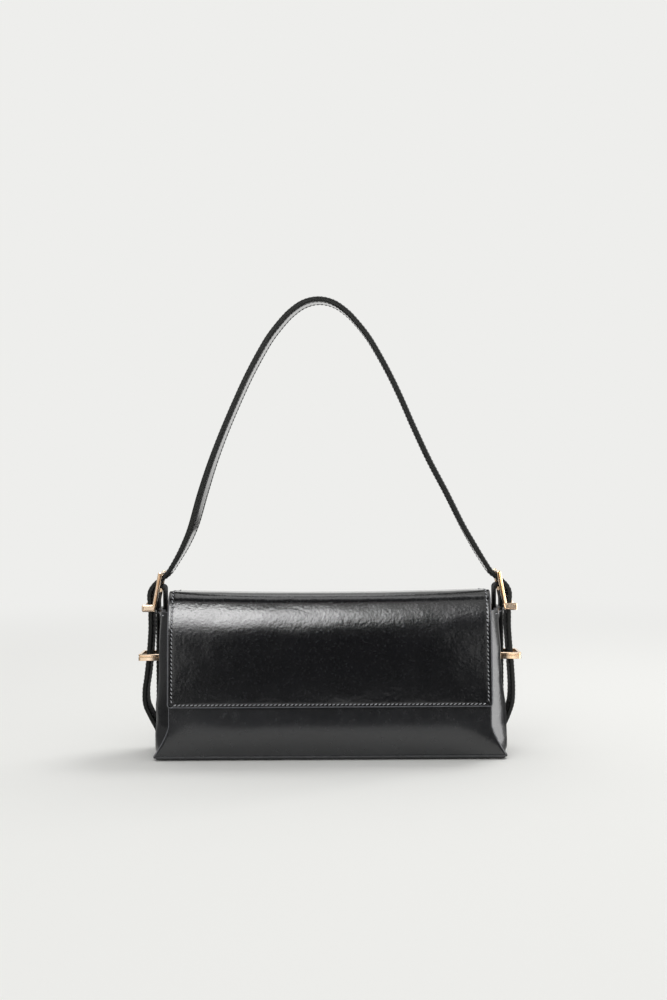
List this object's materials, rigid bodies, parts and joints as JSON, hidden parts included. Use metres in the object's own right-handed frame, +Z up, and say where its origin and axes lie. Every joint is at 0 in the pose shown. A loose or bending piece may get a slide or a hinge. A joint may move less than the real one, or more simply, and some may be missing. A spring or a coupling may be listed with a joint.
{
  "type": "baguette bag",
  "caption": "Small rectangular shoulder bag with a fold-over flap, soft side gussets and a leather strap held by metal buckles and keeper rings.",
  "frame": {"origin": "centre of the base's flat underside, on the surface that the bag stands on", "axes": "+X to the right seen from the front, +Y from the front (flap) to the back, +Z up along the strap"},
  "size_m": [0.2904, 0.065, 0.348],
  "materials": {
    "body_leather": "smooth black box calf, semi-gloss",
    "flap_leather": "smooth black box calf, glossy",
    "gusset_leather": "soft black calf, semi-gloss",
    "strap_leather": "smooth black calf, stitched edges",
    "lining_cloth": "black twill",
    "board": "pressed fibre board",
    "gold_metal": "polished pale gold plating",
    "snap_metal": "satin pale gold plating"
  },
  "bodies": {
    "bag": {"front_panel": "body_leather", "back_panel": "body_leather", "base_panel": "body_leather", "base_board": "board", "gusset_left": "gusset_leather", "gusset_right": "gusset_leather", "lining_body": "lining_cloth", "lining_left": "lining_cloth", "lining_right": "lining_cloth", "facing_front": "body_leather", "facing_back": "body_leather", "facing_left": "body_leather", "facing_right": "body_leather", "slip_pocket": "lining_cloth", "snap_socket": "snap_metal", "snap_socket_washer": "snap_metal", "anchor_loop_left": "strap_leather", "anchor_loop_right": "strap_leather", "strap_run_left": "strap_leather", "strap_run_right": "strap_leather"},
    "flap_top": {"flap_top_leather": "flap_leather", "flap_top_lining": "flap_leather"},
    "flap_front": {"flap_front_leather": "flap_leather", "flap_front_lining": "flap_leather", "snap_stud": "snap_metal", "snap_stud_washer": "snap_metal"},
    "strap": {"shoulder_strap": "strap_leather", "shoulder_strap_lining": "strap_leather", "buckle_left": "gold_metal", "buckle_right": "gold_metal"},
    "keeper_left": {"keeper_left": "gold_metal"},
    "keeper_right": {"keeper_right": "gold_metal"}
  },
  "joints": [
    {"name": "flap_lift", "type": "hinge", "parent": "bag", "child": "flap_top", "pos_m": [0, 0.02758, 0.12358], "axis": [-1, 0, 0], "range_deg": [0, 180], "deforming": ["shoulder_strap", "shoulder_strap_lining"]},
    {"name": "flap_fold", "type": "hinge", "parent": "flap_top", "child": "flap_front", "pos_m": [0, -0.03258, 0.12358], "axis": [-1, 0, 0], "range_deg": [0, 90]},
    {"name": "strap_swing", "type": "hinge", "parent": "bag", "child": "strap", "pos_m": [0, 0, 0.126], "axis": [1, 0, 0], "range_deg": [-55, 55], "deforming": ["anchor_loop_left", "anchor_loop_right"]},
    {"name": "keeper_left_slide", "type": "slide", "parent": "bag", "child": "keeper_left", "axis": [0, 0, 1], "range_m": [-0.016, 0.018]},
    {"name": "keeper_right_slide", "type": "slide", "parent": "bag", "child": "keeper_right", "axis": [0, 0, 1], "range_m": [-0.016, 0.018]}
  ],
  "couplings": [
    {"joint": "flap_fold", "follows": "flap_lift", "ratio": 0.5}
  ]
}
